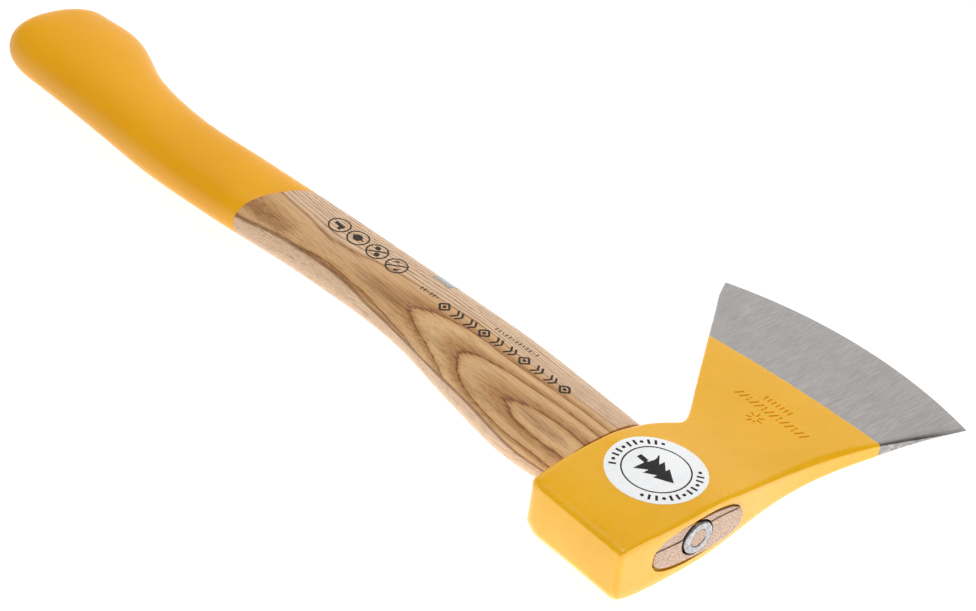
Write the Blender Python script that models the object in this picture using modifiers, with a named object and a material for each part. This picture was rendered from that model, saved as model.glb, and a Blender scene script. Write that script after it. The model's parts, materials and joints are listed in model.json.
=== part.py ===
"""Ash-handled hatchet: a forged head, a swept handle, a ring wedge, a dipped grip and two labels.

The shapes are drawn in the tool's own axes, in millimetres: +X runs along the handle and out
through the top of the eye, +Y points to the cutting edge, +Z is the thickness, and the zero is
the centre of the eye's mouth. An empty then lays the whole tool down as it rests on a bench,
on one cheek, the cutting edge and the knob of the grip.
"""
import math

import bmesh
import bpy
import numpy as np
from mathutils import Vector

MM = 0.001
GAP = 0.3

# Rest pose of the tool: the edge side drops until the cheek, the edge and the knob all touch.
REST_TILT = math.radians(5.78)
REST_ORIGIN = (181.58, -43.945, 13.251)

# Head, seen on its cheek. The cutting edge is an arc; everything else is drawn round it.
ARC_CENTRE = (-22.0, -59.5)
ARC_RADIUS = 189.1
TOE_ANGLE = math.radians(79.7)
HEEL_ANGLE = math.radians(115.3)
EDGE_STEPS = 22
POLL_Y = -40.0
POLL_TOP = (0.3, POLL_Y)
POLL_FOOT = (-48.4, POLL_Y)
POLL_CORNER_RADIUS = 2.2
TOP_LINE = [(0.3, -6.0), (-0.6, 8.0), (-1.7, 24.0), (-2.8, 40.0), (-2.9, 52.0), (-2.3, 63.0),
            (-1.0, 74.0), (0.9, 85.0), (3.1, 95.0), (5.8, 105.5), (8.8, 116.0)]
BEARD_LINE = [(-100.6, 106.3), (-91.0, 94.0), (-82.2, 82.6), (-73.4, 71.5), (-65.2, 61.0),
              (-57.2, 50.9), (-50.6, 42.6), (-47.0, 37.6), (-45.6, 34.4)]
FOOT_LINE = [(-45.2, 31.6), (-46.6, 28.0), (-48.4, 24.0), (-49.8, 18.5), (-50.4, 11.5),
             (-51.0, 4.0), (-51.1, -4.0), (-50.9, -12.0), (-50.3, -21.0), (-49.6, -30.0)]

# Half thickness of the head against the distance from the arc's centre: flat round the eye,
# hollow along the cheeks, then the ground bit down to the cutting edge.
CHEEK_PROFILE = [(0.0, 12.5), (67.5, 12.5), (73.0, 11.9), (80.0, 10.6), (88.0, 9.1), (97.0, 7.6),
                 (107.0, 6.4), (118.0, 5.5), (130.0, 4.7), (141.0, 3.9), (150.0, 3.0),
                 (160.0, 2.15), (170.0, 1.45), (180.0, 0.8), (188.0, 0.3), (189.1, 0.2)]
LENS_STEPS = 120

# Eye through the head, and the tenon that fills it and ends flush with the top.
EYE_HALF_LENGTH = 22.2
EYE_HALF_WIDTH = 8.5
EYE_SQUARENESS = 2.6
TENON_END_X = 0.3
TENON_CHAMFER = 0.4
SHOULDER_X = -52.4

# Handle: distance along X, edge side, spine side, half thickness and squareness of the oval.
HANDLE_STATIONS = [
    (-358.0, 12.0, -31.0, 13.5, 2.20),
    (-343.0, 14.0, -30.5, 13.5, 2.20),
    (-312.0, 4.5, -30.0, 12.0, 2.30),
    (-285.0, 2.5, -30.0, 11.5, 2.35),
    (-250.0, 7.0, -27.0, 11.0, 2.35),
    (-200.0, 12.5, -19.5, 11.0, 2.40),
    (-150.0, 17.5, -17.0, 11.0, 2.40),
    (-110.0, 21.0, -22.5, 12.0, 2.40),
    (-80.0, 21.5, -25.5, 12.0, 2.45),
    (-52.4, 21.5, -23.0, 11.0, 2.60),
]
KNOB_X = -358.0
BUTT_DEPTH = 15.4
BUTT_POWER = 2.5
BUTT_LEAN = 0.30
BUTT_STEPS = 7
RING_POINTS = 32
STATION_STEP = 9.0

# Dipped grip: a thin coat that ends on a slanting line.
COAT_THICKNESS = 0.5
DIP_X = -232.0
DIP_SLANT = 0.36
DIP_FADE = 26.0

# Ring wedge driven into the end of the tenon.
WEDGE_OUTER = 6.9
WEDGE_TIP = 6.2
WEDGE_BORE = 3.7
WEDGE_LENGTH = 16.0
WEDGE_CENTRE = (-0.2, 0.2)
WEDGE_STEPS = 40

# Labels: a round foil on the cheek and a small foil on the edge side of the handle.
CHEEK_LABEL_CENTRE = (-26.6, 1.8)
CHEEK_LABEL_RADIUS = 19.2
FOIL_THICKNESS = 0.2
HANDLE_LABEL_X = (-160.5, -152.0)
HANDLE_LABEL_ANGLE = (16.0, 47.0)


def clear_scene():
    for ob in list(bpy.data.objects):
        bpy.data.objects.remove(ob, do_unlink=True)


def new_collection(name):
    coll = bpy.data.collections.new(name)
    bpy.context.scene.collection.children.link(coll)
    return coll


def material(name, colour, roughness, metallic=0.0):
    mat = bpy.data.materials.new(name)
    mat.use_nodes = True
    bsdf = mat.node_tree.nodes["Principled BSDF"]
    bsdf.inputs["Base Color"].default_value = (*colour, 1.0)
    bsdf.inputs["Roughness"].default_value = roughness
    bsdf.inputs["Metallic"].default_value = metallic
    mat.diffuse_color = (*colour, 1.0)
    return mat


def add_object(name, mesh, coll, parent, mat=None):
    ob = bpy.data.objects.new(name, mesh)
    coll.objects.link(ob)
    ob.parent = parent
    if mat is not None:
        mesh.materials.append(mat)
    return ob


def as_cutter(ob):
    ob.hide_render = True
    ob.display_type = "WIRE"


def smooth(ob, angle=40.0):
    ob.data.shade_smooth()
    ob.data.set_sharp_from_angle(angle=math.radians(angle))


def boolean(ob, cutter, operation):
    mod = ob.modifiers.new(f"{operation.lower()}_{cutter.name}", "BOOLEAN")
    mod.operation = operation
    mod.solver = "EXACT"
    mod.object = cutter


def solidify(ob, thickness, offset):
    mod = ob.modifiers.new("skin", "SOLIDIFY")
    mod.thickness = thickness * MM
    mod.offset = offset
    mod.use_even_offset = True


def mesh_from_evaluated(ob):
    graph = bpy.context.evaluated_depsgraph_get()
    return bpy.data.meshes.new_from_object(ob.evaluated_get(graph), depsgraph=graph).copy()


def squircle(half_y, half_z, power, angle):
    c, s = math.cos(angle), math.sin(angle)
    return (math.copysign(half_y * abs(c) ** (2.0 / power), c),
            math.copysign(half_z * abs(s) ** (2.0 / power), s))


def hermite(table, x):
    """Smooth value of every column of the table at x, through all of its rows."""
    rows = np.array(table)
    xs = rows[:, 0]
    x = min(max(x, xs[0]), xs[-1])
    i = min(int(np.searchsorted(xs, x, side="right")) - 1, len(xs) - 2)
    slopes = np.gradient(rows, xs, axis=0)
    h = xs[i + 1] - xs[i]
    u = (x - xs[i]) / h
    return ((2 * u**3 - 3 * u**2 + 1) * rows[i] + (u**3 - 2 * u**2 + u) * h * slopes[i]
            + (3 * u**2 - 2 * u**3) * rows[i + 1] + (u**3 - u**2) * h * slopes[i + 1])[1:]


def handle_point(x, angle, inset=0.0):
    """A point of the handle's surface; past the knob it closes as a dome that leans to the spine side."""
    edge, spine, half_z, power = hermite(HANDLE_STATIONS, x)
    centre = 0.5 * (edge + spine)
    half_y = 0.5 * (edge - spine) - inset
    half_z -= inset
    lean = 0.0
    if x < KNOB_X:
        ratio = (KNOB_X - x) / (BUTT_DEPTH - inset)
        shrink = max(0.0, 1.0 - ratio**BUTT_POWER) ** (1.0 / BUTT_POWER)
        half_y *= shrink
        half_z *= shrink
        lean = BUTT_LEAN * ratio
    y, z = squircle(half_y, half_z, power, angle)
    return Vector((x + lean * y, centre + y, z))


def handle_ring(x, inset=0.0, slant=0.0):
    """One oval of the handle; slant leans it along X so that it can follow the dip line."""
    ring = []
    for k in range(RING_POINTS):
        angle = 2.0 * math.pi * k / RING_POINTS
        p = handle_point(x, angle, inset)
        if slant:
            p = handle_point(x + slant * (p.y - DIP_CENTRE_Y), angle, inset)
        ring.append(p)
    return ring


DIP_CENTRE_Y = 0.5 * sum(hermite(HANDLE_STATIONS, DIP_X)[:2])


def slant_at(x):
    return DIP_SLANT * max(0.0, 1.0 - abs(x - DIP_X) / DIP_FADE)


def butt_xs(inset):
    depth = BUTT_DEPTH - inset
    return [KNOB_X - depth * math.sin(0.5 * math.pi * k / (BUTT_STEPS + 0.35))
            for k in range(BUTT_STEPS, 0, -1)]


def stations(start, end):
    count = max(2, int(round((end - start) / STATION_STEP)) + 1)
    return list(np.linspace(start, end, count))


def loft_mesh(name, rings, cap_start=True, cap_end=True):
    """Skin a row of rings that all have the same number of points."""
    bm = bmesh.new()
    rows = [[bm.verts.new(Vector(p) * MM) for p in ring] for ring in rings]
    n = len(rows[0])
    for a, b in zip(rows, rows[1:]):
        for k in range(n):
            bm.faces.new((a[k], a[(k + 1) % n], b[(k + 1) % n], b[k]))
    if cap_start:
        bm.faces.new(rows[0])
    if cap_end:
        bm.faces.new(rows[-1])
    bmesh.ops.recalc_face_normals(bm, faces=bm.faces)
    mesh = bpy.data.meshes.new(name)
    bm.to_mesh(mesh)
    bm.free()
    return mesh


def turned(name, profile, steps, coll, parent):
    """A turned solid from (radius, height) pairs that run from the top down the outer side."""
    mesh = bpy.data.meshes.new(name)
    verts = [(r * MM, 0.0, z * MM) for r, z in profile]
    mesh.from_pydata(verts, [(i, i + 1) for i in range(len(verts) - 1)], [])
    ob = add_object(name, mesh, coll, parent)
    mod = ob.modifiers.new("turn", "SCREW")
    mod.axis = "Z"
    mod.steps = steps
    mod.render_steps = steps
    mod.use_merge_vertices = True
    mod.merge_threshold = 0.00001
    mod.use_smooth_shade = True
    return ob


def edge_arc():
    return [(ARC_CENTRE[0] + ARC_RADIUS * math.cos(a), ARC_CENTRE[1] + ARC_RADIUS * math.sin(a))
            for a in np.linspace(TOE_ANGLE, HEEL_ANGLE, EDGE_STEPS + 1)]


def head_outline_mesh(coll, parent):
    """The head's outline as a thick plate with its two poll corners rounded."""
    curve = bpy.data.curves.new("head_outline", "CURVE")
    curve.dimensions = "2D"
    curve.fill_mode = "BOTH"
    curve.extrude = 16.0 * MM
    curve.render_resolution_u = 0
    points = [POLL_TOP] + TOP_LINE + edge_arc() + BEARD_LINE + FOOT_LINE + [POLL_FOOT]
    spline = curve.splines.new("POLY")
    spline.points.add(len(points) - 1)
    for point, (x, y) in zip(spline.points, points):
        point.co = (x * MM, y * MM, 0.0, 1.0)
    spline.use_cyclic_u = True
    guide = add_object("head_outline", curve, coll, parent)
    mesh = mesh_from_evaluated(guide)
    mesh.name = "axe_head"
    bpy.data.objects.remove(guide, do_unlink=True)
    bm = bmesh.new()
    bm.from_mesh(mesh)
    bmesh.ops.remove_doubles(bm, verts=bm.verts, dist=0.000001)
    corners = [e for e in bm.edges if is_poll_corner(e)]
    bmesh.ops.bevel(bm, geom=corners, offset=POLL_CORNER_RADIUS * MM, segments=3, profile=0.5,
                    affect="EDGES")
    bmesh.ops.recalc_face_normals(bm, faces=bm.faces)
    bm.to_mesh(mesh)
    bm.free()
    return mesh


def is_poll_corner(edge):
    a, b = (v.co for v in edge.verts)
    upright = abs(a.z - b.z) > 0.01
    return upright and abs(a.y - POLL_Y * MM) < 0.00001 and abs(b.y - POLL_Y * MM) < 0.00001


def make_head(coll, cutters, parent):
    mat = material("yellow_lacquer_head", (0.85, 0.46, 0.03), 0.35)
    head = add_object("axe_head", head_outline_mesh(coll, parent), coll, parent, mat)
    rim = [(r, -z) for r, z in reversed(CHEEK_PROFILE)]
    lens = turned("cheek_lens", CHEEK_PROFILE + rim, LENS_STEPS, cutters, parent)
    lens.location = (ARC_CENTRE[0] * MM, ARC_CENTRE[1] * MM, 0.0)
    as_cutter(lens)
    rings = []
    for x in (-70.0, 20.0):
        angles = [2.0 * math.pi * k / 48 for k in range(48)]
        rings.append([(x, *squircle(EYE_HALF_LENGTH, EYE_HALF_WIDTH, EYE_SQUARENESS, a))
                      for a in angles])
    eye = add_object("eye_cutter", loft_mesh("eye_cutter", rings), cutters, parent)
    as_cutter(eye)
    boolean(head, lens, "INTERSECT")
    boolean(head, eye, "DIFFERENCE")
    smooth(head, 30.0)
    return head


def tenon_ring(x, inset):
    """One oval of the tenon, which clears the eye all round."""
    ring = []
    for k in range(RING_POINTS):
        angle = 2.0 * math.pi * k / RING_POINTS
        ring.append((x, *squircle(EYE_HALF_LENGTH - inset, EYE_HALF_WIDTH - inset,
                                  EYE_SQUARENESS, angle)))
    return ring


def make_handle(coll, cutters, parent):
    bare = COAT_THICKNESS + GAP
    rings = [handle_ring(x, bare) for x in butt_xs(bare)]
    rings += [handle_ring(x, bare, slant_at(x)) for x in stations(KNOB_X, DIP_X + 0.5)]
    rings += [handle_ring(x, 0.0, slant_at(x)) for x in stations(DIP_X + 0.8, SHOULDER_X)]
    rings += [tenon_ring(SHOULDER_X + 0.4, GAP), tenon_ring(TENON_END_X - TENON_CHAMFER, GAP),
              tenon_ring(TENON_END_X, GAP + TENON_CHAMFER)]
    mat = material("ash_wood", (0.60, 0.42, 0.24), 0.5)
    handle = add_object("handle", loft_mesh("handle", rings), coll, parent, mat)
    groove = wedge_profile(GAP)
    cutter = turned("wedge_groove", groove, WEDGE_STEPS, cutters, parent)
    place_wedge(cutter)
    as_cutter(cutter)
    boolean(handle, cutter, "DIFFERENCE")
    smooth(handle, 35.0)
    return handle


def wedge_profile(clearance):
    """Section of the ring wedge: a tube that narrows to its tip, with its rim broken."""
    top = 3.0 if clearance else 0.0
    rim = 0.0 if clearance else 0.5
    tip = -WEDGE_LENGTH - clearance
    return [(WEDGE_BORE - clearance, top), (WEDGE_OUTER - rim + clearance, top),
            (WEDGE_OUTER + clearance, top - rim), (WEDGE_TIP + clearance, tip),
            (WEDGE_BORE + 0.9 - clearance, tip), (WEDGE_BORE - clearance, top - rim - 6.0),
            (WEDGE_BORE - clearance, top)]


def place_wedge(ob):
    """Stand a turned piece along X with its top at the end of the tenon."""
    ob.rotation_euler = (0.0, math.radians(90.0), 0.0)
    ob.location = (TENON_END_X * MM, WEDGE_CENTRE[0] * MM, WEDGE_CENTRE[1] * MM)


def make_ring_wedge(coll, parent):
    wedge = turned("ring_wedge", wedge_profile(0.0), WEDGE_STEPS, coll, parent)
    wedge.data.materials.append(material("wedge_steel", (0.62, 0.62, 0.62), 0.32, 1.0))
    place_wedge(wedge)
    return wedge


def make_grip(coll, parent):
    rings = [handle_ring(x) for x in butt_xs(0.0)]
    rings += [handle_ring(x, 0.0, slant_at(x)) for x in stations(KNOB_X, DIP_X)]
    mat = material("yellow_grip_coat", (0.86, 0.47, 0.03), 0.42)
    grip = add_object("grip_coating", loft_mesh("grip_coating", rings, cap_end=False), coll,
                      parent, mat)
    solidify(grip, COAT_THICKNESS, -1.0)
    smooth(grip, 40.0)
    return grip


def cheek_height(x, y):
    radius = math.hypot(x - ARC_CENTRE[0], y - ARC_CENTRE[1])
    rows = np.array(CHEEK_PROFILE)
    return float(np.interp(radius, rows[:, 0], rows[:, 1]))


def make_head_label(coll, parent):
    """A round foil laid over the cheek, following its slope."""
    bm = bmesh.new()
    cx, cy = CHEEK_LABEL_CENTRE
    centre = bm.verts.new((cx * MM, cy * MM, (cheek_height(cx, cy) + GAP) * MM))
    rows = []
    for r in np.linspace(CHEEK_LABEL_RADIUS / 5, CHEEK_LABEL_RADIUS, 5):
        row = []
        for k in range(48):
            x = cx + r * math.cos(2.0 * math.pi * k / 48)
            y = cy + r * math.sin(2.0 * math.pi * k / 48)
            row.append(bm.verts.new((x * MM, y * MM, (cheek_height(x, y) + GAP) * MM)))
        rows.append(row)
    for k in range(48):
        bm.faces.new((centre, rows[0][k], rows[0][(k + 1) % 48]))
    for a, b in zip(rows, rows[1:]):
        for k in range(48):
            bm.faces.new((a[k], b[k], b[(k + 1) % 48], a[(k + 1) % 48]))
    mesh = bpy.data.meshes.new("head_label")
    bm.to_mesh(mesh)
    bm.free()
    mat = material("white_foil", (0.82, 0.83, 0.85), 0.3, 0.3)
    label = add_object("head_label", mesh, coll, parent, mat)
    solidify(label, FOIL_THICKNESS, 1.0)
    smooth(label, 40.0)
    return label


def make_handle_label(coll, parent):
    """A small foil wrapped over the rounded shoulder of the handle's edge side."""
    bm = bmesh.new()
    grid = []
    for x in np.linspace(*HANDLE_LABEL_X, 5):
        row = []
        for a in np.linspace(*HANDLE_LABEL_ANGLE, 7):
            row.append(bm.verts.new(handle_point(x, math.radians(a), -GAP) * MM))
        grid.append(row)
    for a, b in zip(grid, grid[1:]):
        for k in range(6):
            bm.faces.new((a[k], b[k], b[k + 1], a[k + 1]))
    mesh = bpy.data.meshes.new("handle_label")
    bm.to_mesh(mesh)
    bm.free()
    mat = material("silver_foil", (0.7, 0.71, 0.73), 0.3, 0.6)
    label = add_object("handle_label", mesh, coll, parent, mat)
    solidify(label, FOIL_THICKNESS, 1.0)
    smooth(label, 40.0)
    return label


def build():
    clear_scene()
    coll = new_collection("hatchet")
    cutters = new_collection("hatchet_cutters")
    root = bpy.data.objects.new("hatchet_rest", None)
    coll.objects.link(root)
    root.rotation_euler = (-REST_TILT, 0.0, 0.0)
    root.location = Vector(REST_ORIGIN) * MM
    make_head(coll, cutters, root)
    make_handle(coll, cutters, root)
    make_ring_wedge(coll, root)
    make_grip(coll, root)
    make_head_label(coll, root)
    make_handle_label(coll, root)
    bpy.context.view_layer.update()


build()
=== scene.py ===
"""Looks of the hatchet: lacquered forging with a ground bit, ash handle, dipped grip, labels and prints.

Fine pieces are drawn in the tool's own axes, in millimetres, as in the CAD: +X along the handle and out
through the top of the eye, +Y to the cutting edge, +Z through the thickness, zero at the centre of the
eye's mouth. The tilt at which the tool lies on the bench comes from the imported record.
"""

import json
import math

import bmesh
import bpy
import numpy as np
from mathutils import Matrix, Vector


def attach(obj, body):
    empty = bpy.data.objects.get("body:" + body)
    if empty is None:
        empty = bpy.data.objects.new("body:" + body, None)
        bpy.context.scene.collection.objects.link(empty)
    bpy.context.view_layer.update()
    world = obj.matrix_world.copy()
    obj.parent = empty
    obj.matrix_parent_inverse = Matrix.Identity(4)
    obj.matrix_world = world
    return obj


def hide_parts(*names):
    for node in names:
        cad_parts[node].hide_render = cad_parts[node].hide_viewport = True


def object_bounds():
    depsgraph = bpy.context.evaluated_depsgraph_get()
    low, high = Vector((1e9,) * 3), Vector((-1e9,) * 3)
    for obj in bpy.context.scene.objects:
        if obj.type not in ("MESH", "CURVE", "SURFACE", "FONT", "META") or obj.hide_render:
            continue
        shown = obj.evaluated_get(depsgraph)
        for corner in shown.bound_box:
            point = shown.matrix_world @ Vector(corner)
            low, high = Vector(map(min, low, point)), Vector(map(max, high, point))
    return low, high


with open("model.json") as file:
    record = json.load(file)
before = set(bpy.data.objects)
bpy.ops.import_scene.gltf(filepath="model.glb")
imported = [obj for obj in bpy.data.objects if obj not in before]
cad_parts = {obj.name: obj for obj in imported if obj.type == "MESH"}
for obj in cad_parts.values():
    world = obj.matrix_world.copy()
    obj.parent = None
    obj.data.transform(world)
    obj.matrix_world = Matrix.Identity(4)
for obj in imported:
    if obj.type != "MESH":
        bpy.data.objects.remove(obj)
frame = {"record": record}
cad_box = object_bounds()

MM = 0.001
INK_LIFT = 0.05

# Where the tool lies: the poll's face is a mount of the record, so its place and direction give the
# rest matrix.
POLL_MOUNT = Vector((-24.05, -40.0, 0.0))

# Head outline, as pairs of Y and X on each side, and the arc of the cutting edge.
ARC_CENTRE = (-22.0, -59.5)
ARC_RADIUS = 189.1
POLL_Y = -40.0
HEEL_Y, TOE_Y = 111.0, 126.4
FOOT_SIDE = [(-40.0, -48.4), (-30.0, -49.6), (-21.0, -50.3), (-12.0, -50.9), (-4.0, -51.0), (4.0, -51.0),
             (11.5, -50.4), (18.5, -49.8), (24.0, -48.4), (28.0, -46.8), (31.6, -45.3), (34.4, -45.5),
             (37.6, -47.0), (42.6, -50.6), (50.9, -57.2), (61.0, -65.2), (71.5, -73.4), (82.6, -82.2),
             (94.0, -91.0), (104.0, -98.8), (HEEL_Y, -102.9)]
TOP_SIDE = [(-40.0, 0.3), (-6.0, 0.3), (8.0, -0.6), (24.0, -1.7), (40.0, -2.8), (52.0, -2.9), (63.0, -2.3),
            (74.0, -1.0), (85.0, 0.9), (95.0, 3.1), (105.5, 5.8), (116.0, 8.8), (TOE_Y, 11.8)]
NOTCH_Y = 34.0
PAINT_FOOT_Y, PAINT_TOP_Y = 80.3, 90.0
PAINT_SAG = 0.9
PAINT_FILM = 0.07

# Half thickness of the head against the distance from the arc's centre.
CHEEK_PROFILE = [(0.0, 12.5), (60.0, 12.5), (67.5, 12.4), (73.0, 11.8), (80.0, 10.6), (88.0, 9.1),
                 (97.0, 7.6), (107.0, 6.4), (118.0, 5.5), (130.0, 4.7), (141.0, 3.9), (150.0, 3.05),
                 (160.0, 2.15), (170.0, 1.45), (180.0, 0.8), (187.0, 0.32), (189.1, 0.12)]
POLL_ROLL_DROP, POLL_ROLL_REACH = 0.8, 10.0

# Rounding of the long edges: how far it runs in over the cheek, against Y, on the top and the foot side.
TOP_RUN = [(-40.0, 0.9), (-20.0, 1.1), (10.0, 1.3), (40.0, 1.6), (66.0, 2.0), (80.0, 1.6), (88.0, 1.1),
           (100.0, 1.2), (118.0, 1.6), (127.0, 1.6)]
FOOT_RUN = [(-40.0, 3.4), (-28.0, 2.2), (-10.0, 1.4), (30.0, 1.3), (127.0, 1.0)]
EDGE_POWER = 1.35

# Rounding of the poll's face: how deep it starts, and how far it runs in at the top, foot, upper and
# lower sides. The edge below rounds off more towards the poll.
POLL_DEPTH = 2.8
POLL_TOP_RUN, POLL_FOOT_RUN, POLL_UPPER_RUN, POLL_LOWER_RUN = 1.2, 4.6, 1.5, 4.4
POLL_LOWER_EXTRA, POLL_LOWER_REACH = 2.4, 14.0

# How finely the head's sections are divided: each rounded edge, each cheek and each side wall.
ARC_STEPS = 7
ACROSS_STEPS = 44
WALL_STEPS = 4

# Ornament struck into the cheek: ends of its two rows, the sunburst's middle, and its depth.
STAMP_ROW = ((-47.8, 65.0), (-15.6, 67.3))
STAMP_TICKS = ((-40.0, 71.4), (-28.2, 72.3))
STAMP_SUN = (-33.0, 58.6)
STAMP_DEPTH = 0.5

# Eye, tenon and wedge. The seam across the tenon's end is given as Z against Y.
EYE_HALF_LENGTH, EYE_HALF_WIDTH, EYE_SQUARENESS = 22.2, 8.5, 2.6
EYE_FLARE = 0.7
TENON_END_X = 0.3
TENON_GAP = 0.25
TENON_ROUND = 0.4
WEDGE_OUTER, WEDGE_BORE = 6.9, 3.7
WEDGE_CENTRE = (-0.2, 0.2)
SEAM = [(-26.0, 3.2), (-20.0, 2.9), (-8.0, 2.6), (8.0, 5.1), (20.0, 4.7), (26.0, 4.2)]
SEAM_DROP = 0.35

# Handle: distance along X, edge side, spine side, half thickness and squareness of the oval.
HANDLE_STATIONS = [
    (-358.0, 12.0, -31.0, 13.5, 2.20),
    (-343.0, 14.0, -30.5, 13.5, 2.20),
    (-312.0, 4.5, -30.0, 12.0, 2.30),
    (-285.0, 2.5, -30.0, 11.5, 2.35),
    (-250.0, 7.0, -27.0, 11.0, 2.35),
    (-200.0, 12.5, -19.5, 11.0, 2.40),
    (-150.0, 17.5, -17.0, 11.0, 2.40),
    (-110.0, 21.0, -22.5, 12.0, 2.40),
    (-80.0, 21.5, -25.5, 12.0, 2.45),
    (-52.4, 21.5, -23.0, 11.0, 2.60),
]
SHOULDER_X = -52.4
KNOB_X = -358.0
BUTT_DEPTH = 15.4
BUTT_POWER = 2.5
BUTT_LEAN = 0.30
AROUND = 72
ALONG_STEP = 2.5
COAT = 0.5
DIP_X = -228.0
DIP_SLANT = 0.36
DIP_FADE = 26.0

# Labels and prints: places as X and Y, the foil's reach as X and as degrees round the handle.
FILM_THICKNESS = 0.1
CHEEK_LABEL_CENTRE = (-26.2, 1.4)
CHEEK_LABEL_RADIUS = 19.2
CHEEK_LABEL_RING = 12.9
HANDLE_LABEL_X = (-158.3, -149.2)
HANDLE_LABEL_ANGLE = (17.0, 62.0)
PICTOGRAMS = [(-200.2, -1.5), (-190.3, -0.7), (-180.0, 0.0), (-169.4, 0.6)]
PICTOGRAM_RADIUS = 4.6

# Light: the table's glow as the tool gets it, from the grip to the head, the glow that the camera sees,
# and the dim room.
FLOOR_GLOW, FLOOR_SEEN = (1.1, 1.84), 0.95
ROOM = 0.24

# View of the photograph, from the frame's origin.
VIEW_AZIMUTH = 46.91
VIEW_ELEVATION = 41.94
VIEW_ROLL = 3.21
VIEW_DISTANCE = 1.8765
VIEW_TARGET = (0.0184, -0.0002, -0.0151)
LENS = 180.56


def rest_matrix():
    poll = next(m for m in frame["record"]["mounts"] if m["name"] == "poll_face")
    turn = Matrix.Rotation(-math.asin(poll["axis"][2]), 4, "X")
    return Matrix.Translation(Vector(poll["pos_m"]) - turn @ (POLL_MOUNT * MM)) @ turn


REST = rest_matrix()


def hermite(table, at):
    """Smooth values of the table's other columns at each place in its first."""
    rows = np.array(table, dtype=float)
    xs = rows[:, 0]
    at = np.clip(np.asarray(at, dtype=float), xs[0], xs[-1])
    i = np.clip(np.searchsorted(xs, at, side="right") - 1, 0, len(xs) - 2)
    slopes = np.gradient(rows, xs, axis=0)
    h = (xs[i + 1] - xs[i])[..., None]
    u = (at - xs[i])[..., None] / h
    out = ((2 * u**3 - 3 * u**2 + 1) * rows[i] + (u**3 - 2 * u**2 + u) * h * slopes[i]
           + (3 * u**2 - 2 * u**3) * rows[i + 1] + (u**3 - u**2) * h * slopes[i + 1])
    return out[..., 1:]


def rgb(red, green, blue):
    """Linear colour of display values out of 255."""
    values = [v / 255.0 for v in (red, green, blue)]
    return tuple(v / 12.92 if v <= 0.04045 else ((v + 0.055) / 1.055) ** 2.4 for v in values)


def squircle(half_y, half_z, power, angle):
    c, s = math.cos(angle), math.sin(angle)
    return (math.copysign(half_y * abs(c) ** (2.0 / power), c),
            math.copysign(half_z * abs(s) ** (2.0 / power), s))


# ---------------------------------------------------------------- materials

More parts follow.
